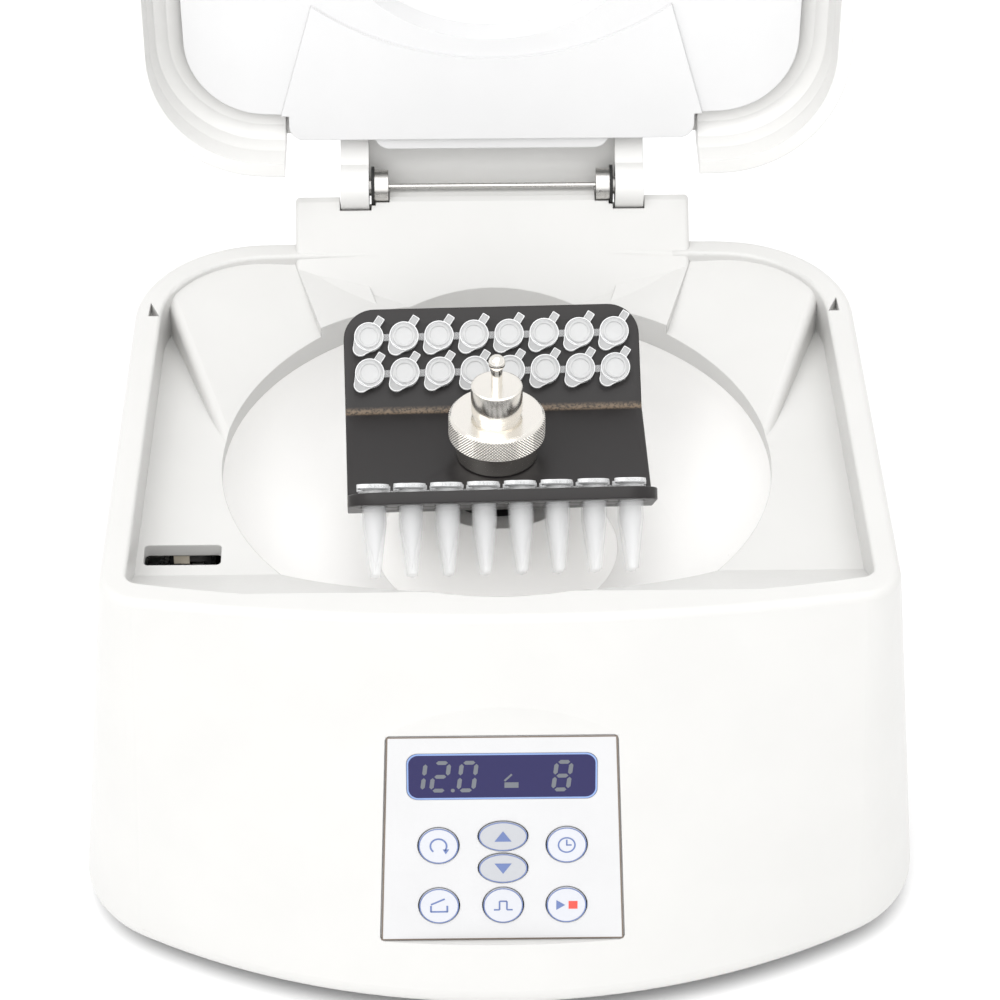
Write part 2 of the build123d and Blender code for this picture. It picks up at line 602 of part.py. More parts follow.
def rotor_plate():
    a = radians(WING_ANGLE)
    under = PLATE_T * tan(a / 2)
    tip = (BEND_Y + WING_L * cos(a), PLATE_TOP + WING_L * sin(a))
    low_tip = (tip[0] + PLATE_T * sin(a), tip[1] - PLATE_T * cos(a))
    right = [(BEND_Y + under, PLATE_TOP - PLATE_T), low_tip, tip, (BEND_Y, PLATE_TOP)]
    left = [(-y, z) for y, z in reversed(right)]
    plate = prism_x(right + left, -PLATE_W / 2, PLATE_W / 2)
    for side in (-1, 1):
        blank = Pos(0, 0, -20) * RectangleRounded(PLATE_W, 2 * WING_L, WING_CORNER_R)
        corners = Pos(0, 0, -20) * Rectangle(PLATE_W + 10, 2 * WING_L + 10) - blank
        upper = place(Box(200, 200, 200, align=(Align.CENTER, Align.MIN, Align.CENTER)), y=5)
        plate -= wing_frame(side, 0) * (extrude(corners, 40) & upper)
        for up in ROW_UP_WING:
            plate -= [wing_frame(side, up) * place(Cylinder(TUBE_HOLE_R, 4 * PLATE_T), tube_x(i))
                      for i in range(TUBES)]
    return plate - cylinder(THREAD_R + 1.5, FLAT_Z - 10, LID_TOP)


def rotor_bushing():
    """The bush riveted under the plate; it slips over the shaft and rests on the flange."""
    return cylinder(HUB_R, HUB_Z, PLATE_TOP - PLATE_T) - cylinder(SHAFT_R + RUN_FIT, 0, LID_TOP)


def rotor_nut():
    low = PLATE_TOP
    ring_top = low + NUT_RING_H
    knurl_top = ring_top + KNURL_H
    profile = [(0, low), (NUT_RING_R, low), (NUT_RING_R, ring_top), (KNURL_R - 0.8, ring_top),
               (KNURL_R, ring_top + 0.8), (KNURL_R, knurl_top - 0.8), (KNURL_R - 0.8, knurl_top),
               (NUT_BOSS_R - 0.6, knurl_top), (NUT_BOSS_R - 0.6, knurl_top + 1.2), (NUT_BOSS_R, knurl_top + 1.6),
               (NUT_BOSS_R, NUT_TOP - 0.5), (NUT_BOSS_R - 0.5, NUT_TOP), (0, NUT_TOP)]
    nut = revolved(profile) - cylinder(THREAD_R + RUN_FIT, low - 1, low + 10)
    return nut - cylinder(NECK_R, NUT_TOP - 4, NUT_TOP + 1)


def lift_pin():
    pin = cylinder(NECK_R, NUT_TOP - 4, NUT_TOP + LIFT_PIN_H - BALL_R)
    return pin + place(Sphere(BALL_R), z=NUT_TOP + LIFT_PIN_H - BALL_R)


LIP_LOW = 0.2
LIP_TOP = 0.8


def one_tube():
    """One tapered tube in its own frame: Z 0 is the plate's upper face."""
    body_end = -TUBE_BELOW * 0.25 - PLATE_T
    tip = -TUBE_BELOW - PLATE_T
    bore = TUBE_R - TUBE_WALL
    return revolved([(0, tip), (TUBE_TIP_R, tip + 0.4), (TUBE_R, body_end), (TUBE_R, LIP_LOW), (CAP_R, LIP_LOW),
                     (CAP_R, LIP_TOP), (bore, LIP_TOP), (bore, body_end), (0, tip + 1.5)])


def tube_strip(side, up):
    """Tubes joined by a thin bar."""
    bar = block((tube_x(0), tube_x(TUBES - 1)), (-0.9, 0.9), (LIP_LOW, LIP_TOP))
    bar -= [place(Cylinder(TUBE_R - TUBE_WALL / 2, 4), tube_x(i)) for i in range(TUBES)]
    strip = bar + [place(one_tube(), tube_x(i)) for i in range(TUBES)]
    return wing_frame(side, up) * strip


def one_cap(side):
    """A plug cap with its hinge tab and thumb lobe; the tabs point the same way on both wings."""
    plug = TUBE_R - TUBE_WALL - RUN_FIT
    cap = revolved([(0, -1.2), (plug, -1.2), (plug, 0), (CAP_R, 0), (CAP_R, CAP_T), (plug - 0.5, CAP_T),
                    (plug - 0.5, -0.4), (0, -0.4)])
    turn = 0 if side > 0 else 180
    tab = Pos(0, 0, CAP_T / 2) * Rot(0, 0, turn - 34) * place(Box(2.1, 3.2, CAP_T * 0.6), y=CAP_R + 0.65)
    lobe = Pos(0, 0, CAP_T / 2) * Rot(0, 0, turn + 180 - 25) * place(Box(4.2, 3.0, CAP_T * 0.6), y=CAP_R + 0.2)
    return cap + tab + lobe


def strip_caps(side, up):
    return group(wing_frame(side, up) * (Pos(tube_x(i), 0, CAP_SEAT) * one_cap(side)) for i in range(TUBES))


def barrel(side):
    """A steel barrel on the hinge block with the pin that the lid's arm turns on."""
    solid = rod_x(BARREL_R, BARREL_IN, ARM_IN - GAP - WASHER_T, HINGE_Y, HINGE_Z)
    solid += rod_x(PIN_R, ARM_IN - GAP - WASHER_T, ARM_OUT - 1.5, HINGE_Y, HINGE_Z)
    return solid if side > 0 else mirror(solid, about=Plane.YZ)


def hinge_washers():
    ring = rod_x(WASHER_R, ARM_IN - GAP - WASHER_T, ARM_IN - GAP, HINGE_Y, HINGE_Z)
    ring -= rod_x(PIN_R + RUN_FIT, 0, ARM_OUT, HINGE_Y, HINGE_Z)
    return group([ring, mirror(ring, about=Plane.YZ)])


def lid_section(z, inset):
    size = dict(RIM)
    size["r_front"] = 6.0 + 2.2 * inset
    size["r_rear"] = 34.0 + inset
    return outline(size, z, inset)


def lid_form():
    """The lid's domed outside."""
    levels = [(RIM_Z + GAP, 0.0), (RIM_Z + 18, 1.6), (RIM_Z + 32, 7.5), (RIM_Z + 40, 17.0), (LID_TOP, 33.0)]
    return loft([lid_section(z, inset) for z, inset in levels], ruled=True)


def cove():
    """The room inside the skirt: it curves inwards behind the liner's edge."""
    levels = [(RIM_Z - 1, LID_WALL), (LINER_Z - 4, LID_WALL + 0.7), (LINER_Z, LID_WALL + 2.1),
              (LINER_Z + 3, LID_WALL + 5.1), (LINER_Z + 4.5, LINER_INSET - 0.2)]
    return loft([outline(RIM, z, inset) for z, inset in levels], ruled=True)


def arm():
    """One hinge arm under the lid's rear hood, with the hole for its pin."""
    hub = rod_x(ARM_END_R, ARM_IN + GAP, ARM_OUT, HINGE_Y, HINGE_Z)
    web = prism_x([(HINGE_Y - ARM_END_R, HINGE_Z), (HINGE_Y + ARM_END_R * 0.98, HINGE_Z + 1),
                   (HINGE_Y + 4.9, HINGE_Z + 9.5), (HINGE_Y - 30.1, HINGE_Z + 18.5), (HINGE_Y - 30.1, HINGE_Z + 9.5),
                   (HINGE_Y - 16.1, HINGE_Z + 6.5)], ARM_IN + GAP, ARM_OUT)
    return hub + web - rod_x(PIN_R + RUN_FIT, ARM_IN - 1, ARM_OUT - 1.5, HINGE_Y, HINGE_Z)


def lid_shell():
    shell = lid_form() - cove()
    shell -= extrude(outline(RIM, LINER_Z, LINER_INSET - GAP), 7.5)
    hollow = [outline(dict(RIM, r_front=20.0), LINER_Z + 7, 5.0),
              outline(dict(RIM, r_front=40.0), LID_TOP - 3.5, 34.0)]
    shell -= loft(hollow, ruled=True)
    rear = (LID_CUT_Y, HINGE_Y + 30)
    shell -= block((-LID_CUT_HALF, LID_CUT_HALF), rear, (FLAT_Z, HINGE_Z + 7.5))
    shell -= both_sides(block((ARM_OUT, LID_CUT_HALF), rear, (FLAT_Z, HINGE_Z + 9.5)))
    hood = [(HINGE_Y - 28.1, HINGE_Z + 7.5), (HINGE_Y + 4.9, HINGE_Z + 7.5), (HINGE_Y + 5.9, HINGE_Z + 8.5),
            (HINGE_Y + 4.9, HINGE_Z + 11.5), (HINGE_Y - 10.1, HINGE_Z + 17.5), (HINGE_Y - 28.1, HINGE_Z + 24.5)]
    shell += prism_x(hood, -ARM_OUT, ARM_OUT)
    shell += both_sides(arm())
    return shell + [cylinder(4.0, LINER_Z + LINER_T, LID_TOP - 2, x, y) & lid_form() for x, y in POST_PLACES]


def dish(extra):
    """The recess over the rotor's nut: a steep edge and a shallow spherical dome, grown by extra."""
    edge_r = RECESS_R + extra
    low = LINER_Z - 5
    shoulder = (edge_r - 1.4, LINER_Z + 7 + extra)
    top = (0, RECESS_Z + extra)
    rise = top[1] - shoulder[1]
    dome_r = (shoulder[0] ** 2 + rise ** 2) / (2 * rise)
    section = [
        Line((0, low), (edge_r, low)),
        Line((edge_r, low), (edge_r, LINER_Z)),
        Line((edge_r, LINER_Z), shoulder),
        RadiusArc(shoulder, top, -dome_r),
        Line(top, (0, low)),
    ]
    return revolve(Plane.XZ * make_face(section), Axis.Z)


def lid_liner():
    """The lid's inner lining, with a raised panel behind and the round recess."""
    tab_y = HINGE_Y - 14.3
    front_y = LID_CUT_Y - 6
    plan = outline(RIM, 0, LINER_INSET)
    wide = Pos(0, (front_y + tab_y) / 2) * Rectangle(2 * (LID_CUT_HALF - 1), tab_y - front_y)
    long = Pos(0, (front_y + HINGE_Y - 11.1) / 2) * Rectangle(2 * (ARM_IN - 1.4), HINGE_Y - 11.1 - front_y)
    plan = plan + fillet(wide.vertices().sort_by(Axis.Y)[-2:], 4.0) + fillet(long.vertices().sort_by(Axis.Y)[-2:], 4.0)
    plate = extrude(Pos(0, 0, LINER_Z) * plan, LINER_T)
    raised = make_face([Line((-57.5, tab_y), (-47, 38)), ThreePointArc((-47, 38), (0, 53), (47, 38)),
                        Line((47, 38), (57.5, tab_y)), Line((57.5, tab_y), (-57.5, tab_y))])
    plate += extrude(Pos(0, 0, LINER_Z - LINER_STEP) * (raised & plan), LINER_STEP)
    plate += dish(LINER_T) & block((-100, 100), (-100, 100), (LINER_Z, LID_TOP))
    return plate - dish(0)


def lid_striker():
    """The steel tongue that drops through the deck's slot, with the window that the bolt enters."""
    tongue = block(STRIKER_X, STRIKER_Y, (STRIKER_LOW, LINER_Z))
    foot = block((STRIKER_X[0] - 0.8, STRIKER_X[1] + 2), (STRIKER_Y[0] - 6, STRIKER_Y[1] + 6), (LINER_Z - 2, LINER_Z))
    window = block((STRIKER_X[0] + 2, STRIKER_X[1] - 2), (STRIKER_Y[0] - 10, STRIKER_Y[1] + 10),
                   (STRIKER_LOW + 2, STRIKER_LOW + 6.5))
    return tongue + foot - window


def latch_housing():
    """The moulded box under the deck, behind the slot, that guides the bolt."""
    start = SLOT_Y[1] + 1.6
    box = block(LATCH_X, (start, start + LATCH_L - 1.6), (STRIKER_LOW - 6, FLAT_Z - DECK_T))
    return box - block(grown(BOLT_X, GAP), (start - 5, start + BOLT_L), grown(BOLT_Z, GAP))


def latch_guide():
    """The pale cap on the front of the latch housing, seen through the slot."""
    return block((SLOT_X[0] + 6.9, SLOT_X[0] + 10.8), (SLOT_Y[1] + 0.4, SLOT_Y[1] + 1.6),
                 (BOLT_Z[1] + 0.6, FLAT_Z - DECK_T))


def latch_bracket():
    """The bent steel bracket beside the latch housing."""
    x = (SLOT_X[0] + 0.2, SLOT_X[0] + 5.6)
    top = FLAT_Z - DECK_T
    return (block(x, (SLOT_Y[1] + 0.4, SLOT_Y[1] + 1.9), (top - 12, top))
            + block(x, (SLOT_Y[1] + 0.4, SLOT_Y[1] + 13), (top - 1.5, top)))


def latch_bolt():
    tip_y = STRIKER_Y[1] + 1.2
    return block(BOLT_X, (tip_y, tip_y + BOLT_L), BOLT_Z)


def display_module():
    size = Pos(0, DISPLAY_V) * Rectangle(DISPLAY_W + 1.0, DISPLAY_H + 2.0)
    return on_panel(size, -OVERLAY_T - 0.1, -2.8)


def display_window():
    size = Pos(0, DISPLAY_V) * RectangleRounded(DISPLAY_W, DISPLAY_H, DISPLAY_R)
    return on_panel(size, -0.05, -OVERLAY_T + 0.1)


def control_overlay():
    """The printed film with openings for the display and the keys."""
    sheet = on_panel(panel_face(0), 0, -OVERLAY_T)
    hole = RectangleRounded(DISPLAY_W + 2 * RUN_FIT, DISPLAY_H + 2 * RUN_FIT, DISPLAY_R)
    sheet -= on_panel(Pos(0, DISPLAY_V) * hole, 1, -4)
    return sheet - [on_panel(key_sketch(name, GAP), 1, -4) for name in [*KEYS, *OVAL_KEYS]]


def key(name):
    cap = on_panel(key_sketch(name), KEY_T, -KEY_T - OVERLAY_T - 0.5)
    return cap + on_panel(key_place(name) * Circle(1.6), -OVERLAY_T, -2.2)


def control_board():
    """The board on the back of the panel's frame, with a switch under each key."""
    back = -OVERLAY_T - 3.0
    board = on_panel(Rectangle(PANEL_TOP_W - 2, PANEL_H - 2), back, -1.6)
    return board + [on_panel(key_place(name) * Circle(2.2), back, 0.3) for name in [*KEYS, *OVAL_KEYS]]


def power_board():
    low = FOOT_H + BASE_PLATE_T
    top = low + 10.6
    board = block((-84, -38), (-28, 44), (top - 1.6, top))
    posts = [cylinder(2.5, low, top - 1.6, x, y) for x in (-80, -42) for y in (-24, 40)]
    parts = block((-78, -62), (-20, 4), (top, top + 14)) + block((-58, -44), (-20, 0), (top, top + 10))
    return board + posts + parts + cylinder(7, top, top + 18, -68, 26)


def save(name, shape):
    shape.label = name
    export_step(shape, f"parts/{name}.step")


def opened(shape):
    """Turns a piece of the closed lid about the hinge to its open place."""
    hinge = Axis((0, HINGE_Y, HINGE_Z), (1, 0, 0))
    return shape.rotate(hinge, -LID_OPEN_ANGLE)


def turned(shape):
    return Rot(0, 0, ROTOR_TURN) * shape


save("upper_housing", upper_housing())
save("base_plate", base_plate())
save("feet", group(cylinder(9.0, 0, FOOT_H, x, y) for x, y in FOOT_PLACES))
save("housing_screws", group(screw(FOOT_H, BASE_PLATE_T + BOSS_H - 5, x, y) for x, y in SCREW_PLACES))
save("rotor_chamber", rotor_chamber())
save("spindle_cowl", spindle_cowl())
save("shaft_boot", shaft_boot())
save("vibration_dampers", vibration_dampers())
save("motor_plate", motor_plate())
save("motor_screws", group(screw(MOTOR_PLATE_Z, MOTOR_PLATE_T + MOTOR_END_T - 2, x, y) for x, y in MOTOR_SCREW_PLACES))
save("motor_can", motor_can())
save("motor_bearings", motor_bearings())
save("motor_stator", motor_stator())
save("motor_rotor", motor_rotor())
save("drive_shaft", drive_shaft())
save("latch_housing", latch_housing())
save("latch_guide", latch_guide())
save("latch_bracket", latch_bracket())
save("latch_bolt", latch_bolt())
save("display_module", display_module())
save("display_window", display_window())
save("control_overlay", control_overlay())
save("control_board", control_board())
save("power_board", power_board())
save("mains_inlet", mains_inlet())
save("inlet_pins", inlet_pins())
save("switch_frame", switch_frame())
save("switch_rocker", switch_rocker())
for key_name in [*KEYS, *OVAL_KEYS]:
    save(key_name, key(key_name))
save("hinge_barrel_right", barrel(1))
save("hinge_barrel_left", barrel(-1))
save("hinge_washers", hinge_washers())
save("torsion_rod", rod_x(ROD_R, -BARREL_IN, BARREL_IN, HINGE_Y, HINGE_Z))
save("lid_shell", opened(lid_shell()))
save("lid_liner", opened(lid_liner()))
save("lid_striker", opened(lid_striker()))
save("rotor_plate", turned(rotor_plate()))
save("rotor_bushing", turned(rotor_bushing()))
save("rotor_nut", rotor_nut())
save("lift_pin", lift_pin())
strip_names = {(1, 0): "rear_inner", (1, 1): "rear_outer", (-1, 0): "front_inner", (-1, 1): "front_outer"}
for (side, row), name in strip_names.items():
    save(f"tube_strip_{name}", turned(tube_strip(side, ROW_UP_WING[row])))
    save(f"strip_caps_{name}", turned(strip_caps(side, ROW_UP_WING[row])))
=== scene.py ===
import json
from math import atan2, copysign, cos, pi, radians, sin

import bmesh
import bpy
from mathutils import Matrix, Vector


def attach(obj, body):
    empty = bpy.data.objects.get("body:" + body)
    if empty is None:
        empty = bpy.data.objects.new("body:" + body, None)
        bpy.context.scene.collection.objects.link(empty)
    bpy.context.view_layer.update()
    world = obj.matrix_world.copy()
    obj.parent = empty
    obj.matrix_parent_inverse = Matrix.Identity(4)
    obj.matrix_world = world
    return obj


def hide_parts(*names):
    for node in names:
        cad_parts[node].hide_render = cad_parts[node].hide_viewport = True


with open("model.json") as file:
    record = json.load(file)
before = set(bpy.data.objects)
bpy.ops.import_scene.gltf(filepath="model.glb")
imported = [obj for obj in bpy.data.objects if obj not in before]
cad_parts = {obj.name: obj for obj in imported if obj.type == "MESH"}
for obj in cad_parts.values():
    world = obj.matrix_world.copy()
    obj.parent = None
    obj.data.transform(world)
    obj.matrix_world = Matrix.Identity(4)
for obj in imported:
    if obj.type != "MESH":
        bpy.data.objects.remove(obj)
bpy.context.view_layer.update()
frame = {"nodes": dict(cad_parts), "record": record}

MM = 0.001
nodes = frame["nodes"]
bodies = frame["record"]["behaviour"]["bodies"]
body_of_node = {node: body for body, members in bodies.items() for node in members}

# Rotor plate, in millimetres as in the construction; its painted highlight and wear line fades out from a
# bend to BEND_HIGHLIGHT_FADE
PLATE_TOP = 100.0
PLATE_T = 3.0
PLATE_W = 76.0
PLATE_EDGE_R = 0.3
WING_ANGLE = radians(42.0)
WING_L = 27.1
WING_CORNER_R = 8.0
WING_CORNER_STEPS = 12
BEND_Y = 18.5
BEND_R = 2.6
BEND_START = BEND_Y - BEND_R * WING_ANGLE / 2
BEND_STEPS = 6
BEND_HIGHLIGHT_CORE = 0.2
BEND_HIGHLIGHT_FADE = 1.3
CENTRE_HOLE_R = 4.0
CENTRE_HOLE_STEPS = 48
SHARP_ANGLE = 35
ROTOR_TURN = radians(1.6)

# Tubes and caps, whose two rows on a wing lie so far up it from the bend
TUBES = 8
TUBE_PITCH = 9.0
TUBE_HOLE_R = 3.2
TUBE_HOLE_STEPS = 32
ROW_UP_WING = {"inner": 10.0, "outer": 19.5}
CAP_R = 3.75
CAP_T = 1.5
CAP_SEAT = 1.1
CAP_CROWN_R = 2.95
CAP_DISH = 0.35
CAP_STEPS = 40
PLUG_R = 2.4
PLUG_L = 1.0
FLANGE_LOW = CAP_T * 0.2
FLANGE_HIGH = CAP_T * 0.75
LIP_W = 0.22
TAB_HALF_W = 1.0
TAB_L = 2.25
TAB_CHAMFER = 0.15
TAB_SWING = radians(34)
LOBE_R = 1.95
LOBE_REACH = CAP_R + 0.05
LOBE_ROOT = [(-3.2, 1.75), (-1.6, 3.2), (1.6, 3.2), (3.2, 1.75)]
LOBE_SWING = radians(36)

# Nut
RING_R = 10.25
RING_H = 5.6
RING_CHAMFER = 0.3
KNURL_R = 12.25
KNURL_H = 6.8
KNURL_TEETH = 92
KNURL_ROWS = 8
KNURL_DEPTH = 0.34
KNURL_CHAMFER = 0.8
KNURL_BORE_R = 9.0
KNURL_GAP = 0.02
CORE_R = 11.2
BOSS_R = 6.5
BOSS_WAIST_R = BOSS_R - 0.6
BOSS_WAIST_H = 1.2
BOSS_ROUND = 0.5
NUT_H = 21.3
NECK_R = 1.45
THREAD_R = 2.55
THREAD_L = 10.0
NUT_STEPS = 128
NUT_SHARP_ANGLE = 25

# Control panel and its prints; DIGITS holds each digit and its place across the display
PANEL_TILT = radians(12.753)
KEY_R = 4.85
OVAL_HALF = (5.9, 4.0)
KEY_RING_W = 0.28
KEY_RING_STEPS = 64
DISPLAY_HALF = (23.05, 6.3)
DISPLAY_R = 2.8
BORDER_INSET = 0.05
BORDER_SIDE_W = 0.40
BORDER_TOP_W = 0.45
# The dark band round the control film is painted shadow of the gap
GAP_SHADOW_W = 0.36
GAP_SHADOW_INSET = 0.1
FILM_CORNER_H = 3
INK_T = 0.03
DIGIT_H = 8.6
DIGIT_W = 4.6
DIGIT_LINE = 1.05
DIGIT_GAP = DIGIT_LINE * 0.62
DIGIT_LEAN = 0.12
DIGITS = ((1, -20.6), (2, -14.9), (0, -8.3), (8, 14.6))
SEGMENTS = {0: "abcdef", 1: "bc", 2: "abged", 8: "abcdefg"}
POINT_PLACE = (-11.9, -3.8)
POINT_R = 0.5
POINT_STEPS = 12
ICON_R = 2.2
ICON_LINE = 0.45
ARROW_STEPS = 32
CLOCK_LINE = 0.4
CLOCK_STEPS = 40
PULSE_LINE = 0.42

# Colours of the rotor's metals; the lighter brown is painted highlight and wear along the plate's bends
ANODISED = (0.018, 0.016, 0.016)
BEND_HIGHLIGHT_AND_WEAR = (0.17, 0.125, 0.085)
NICKEL = (0.87, 0.84, 0.79)

# Studio, in metres: each lamp's name, place, size and power
LAMPS = (("key", (-1.0, -0.6, 1.3), 1.0, 5.0),
         ("top", (0.0, -0.40, 1.6), 1.9, 14.0),
         ("front", (-0.1, -1.7, 0.9), 1.4, 6.0))
LAMP_AIM = (0, 0, 0.1)
WORLD_STRENGTH = 1.0
FLOOR_SIZE = 6
CAMERA_PLACE = (-0.0119, -0.8565, 0.7447)
CAMERA_TURN = (radians(52.4), 0, radians(-0.85))
CAMERA_LENS = 152.64
CAMERA_SENSOR = 36.0


# Materials

def new_material(name, color, roughness=0.4, edge=0.0, **sockets):
    """A principled material; sockets are set by their names with underscores for blanks."""
    material = bpy.data.materials.new(name)
    material.use_nodes = True
    shader = material.node_tree.nodes["Principled BSDF"]
    shader.inputs["Base Color"].default_value = (*color, 1)
    shader.inputs["Roughness"].default_value = roughness
    for key, value in sockets.items():
        shader.inputs[key.replace("_", " ")].default_value = value
    if edge:
        rounded = material.node_tree.nodes.new("ShaderNodeBevel")
        rounded.name = "edge"
        rounded.samples = 4
        rounded.inputs["Radius"].default_value = edge * MM
        material.node_tree.links.new(rounded.outputs["Normal"], shader.inputs["Normal"])
    return material


def object_noise(tree, scale, detail=4):
    """Noise in the piece's own coordinates."""
    place = tree.nodes.new("ShaderNodeTexCoord")
    noise = tree.nodes.new("ShaderNodeTexNoise")
    noise.inputs["Scale"].default_value = scale
    noise.inputs["Detail"].default_value = detail
    tree.links.new(place.outputs["Object"], noise.inputs["Vector"])
    return noise.outputs["Fac"]


def map_range(tree, value, source, target, interpolation="LINEAR"):
    """Carries a value from one range (low, high) to another."""
    node = tree.nodes.new("ShaderNodeMapRange")
    node.interpolation_type = interpolation
    for name, number in zip(("From Min", "From Max", "To Min", "To Max"), (*source, *target)):
        node.inputs[name].default_value = number
    tree.links.new(value, node.inputs["Value"])
    return node.outputs["Result"]


def math_node(tree, operation, *values):
    """A math node whose inputs are other nodes' outputs or plain numbers."""
    node = tree.nodes.new("ShaderNodeMath")
    node.operation = operation
    for socket, value in zip(node.inputs, values):
        if isinstance(value, float):
            socket.default_value = value
        else:
            tree.links.new(value, socket)
    return node.outputs[0]


def add_grain(material, scale, strength, roughness_range, colors=None):
    """Fine grain: noise drives the bump and roughness, and mixes two near colours in wide patches."""
    tree = material.node_tree
    shader = tree.nodes["Principled BSDF"]
    noise = object_noise(tree, scale)
    bump = tree.nodes.new("ShaderNodeBump")
    bump.inputs["Strength"].default_value = strength
    bump.inputs["Distance"].default_value = 0.1 * MM
    tree.links.new(noise, bump.inputs["Height"])
    if "edge" in tree.nodes:
        tree.links.new(tree.nodes["edge"].outputs["Normal"], bump.inputs["Normal"])
    tree.links.new(bump.outputs["Normal"], shader.inputs["Normal"])
    tree.links.new(map_range(tree, noise, (0, 1), roughness_range), shader.inputs["Roughness"])
    if colors:
        ramp = tree.nodes.new("ShaderNodeValToRGB")
        for element, position, color in zip(ramp.color_ramp.elements, (0.35, 0.65), colors):
            element.position = position
            element.color = (*color, 1)
        tree.links.new(object_noise(tree, scale / 20), ramp.inputs["Fac"])
        tree.links.new(ramp.outputs["Color"], shader.inputs["Base Color"])
    return material


def plastic(name, color, spread=0.01, edge=0.4, scale=900, strength=0.05, roughness=(0.3, 0.42)):
    """A moulded plastic whose colour varies by a little."""
    dark = tuple(c * (1 - spread) for c in color)
    light = tuple(min(c * (1 + spread), 1) for c in color)
    return add_grain(new_material(name, color, edge=edge), scale, strength, roughness, (dark, light))


def print_and_shadow_colour(name, color, spread=0.05):
    """Flat marks with no rounded edge: prints, and the painted shadow round the control film."""
    return plastic(name, color, spread, edge=0, scale=1500)


def metal(name, color, roughness, edge=0.2, scale=500, strength=0.04, **sockets):
    material = new_material(name, color, edge=edge, Metallic=1.0, **sockets)
    return add_grain(material, scale, strength, roughness)


def clear_plastic(name, alpha, roughness, tone=0.935):
    """Thin translucent polypropylene: every surface adds a little white."""
    material = new_material(name, (tone, tone * 1.005, tone * 1.01), roughness, Alpha=alpha)
    return add_grain(material, 1500, 0.05, (roughness, roughness + 0.1))


def turned_metal():
    """Nickel with fine turning marks, whose highlights fan out round the axis."""
    material = metal("nickel_turned", NICKEL, (0.16, 0.24), scale=300, strength=0.02, Anisotropic=0.6)
    tree = material.node_tree
    round_axis = tree.nodes.new("ShaderNodeTangent")
    round_axis.direction_type = "RADIAL"
    round_axis.axis = "Z"
    tree.links.new(round_axis.outputs["Tangent"], tree.nodes["Principled BSDF"].inputs["Tangent"])
    return material


def display_glass():
    material = new_material("display_glass", (0.022, 0.020, 0.085), Specular_IOR_Level=0.25)
    return add_grain(material, 1500, 0.02, (0.08, 0.13))


def plate_with_painted_bend_highlight():
    """Black anodising with fine grain, and a lighter brown line along each bend, painted as the bend's
    highlight and as wear.
    """
    material = new_material("anodised_black", ANODISED, edge=0.25, Specular_IOR_Level=0.35)
    add_grain(material, 2500, 0.08, (0.32, 0.46))
    tree = material.node_tree
    place = tree.nodes.new("ShaderNodeTexCoord")
    turn = tree.nodes.new("ShaderNodeVectorRotate")
    turn.rotation_type = "Z_AXIS"
    turn.inputs["Angle"].default_value = -ROTOR_TURN
    split = tree.nodes.new("ShaderNodeSeparateXYZ")
    tree.links.new(place.outputs["Object"], turn.inputs["Vector"])
    tree.links.new(turn.outputs["Vector"], split.inputs["Vector"])
    side = math_node(tree, "ABSOLUTE", split.outputs["Y"])
    distance = math_node(tree, "ABSOLUTE", math_node(tree, "SUBTRACT", side, BEND_Y * MM))
    # Painted highlight: a lighter brown line along each bend, broken into patches as wear
    line = map_range(tree, distance, (BEND_HIGHLIGHT_FADE * MM, BEND_HIGHLIGHT_CORE * MM), (0, 1), "SMOOTHSTEP")
    highlight_and_wear_patches = map_range(tree, object_noise(tree, 1500, 8), (0.38, 0.56), (0.22, 1))
    mix = tree.nodes.new("ShaderNodeMix")
    mix.data_type = "RGBA"
    mix.inputs["A"].default_value = (*ANODISED, 1)
    mix.inputs["B"].default_value = (*BEND_HIGHLIGHT_AND_WEAR, 1)
    tree.links.new(math_node(tree, "MULTIPLY", line, highlight_and_wear_patches), mix.inputs["Factor"])
    tree.links.new(mix.outputs["Result"], tree.nodes["Principled BSDF"].inputs["Base Color"])
    return material


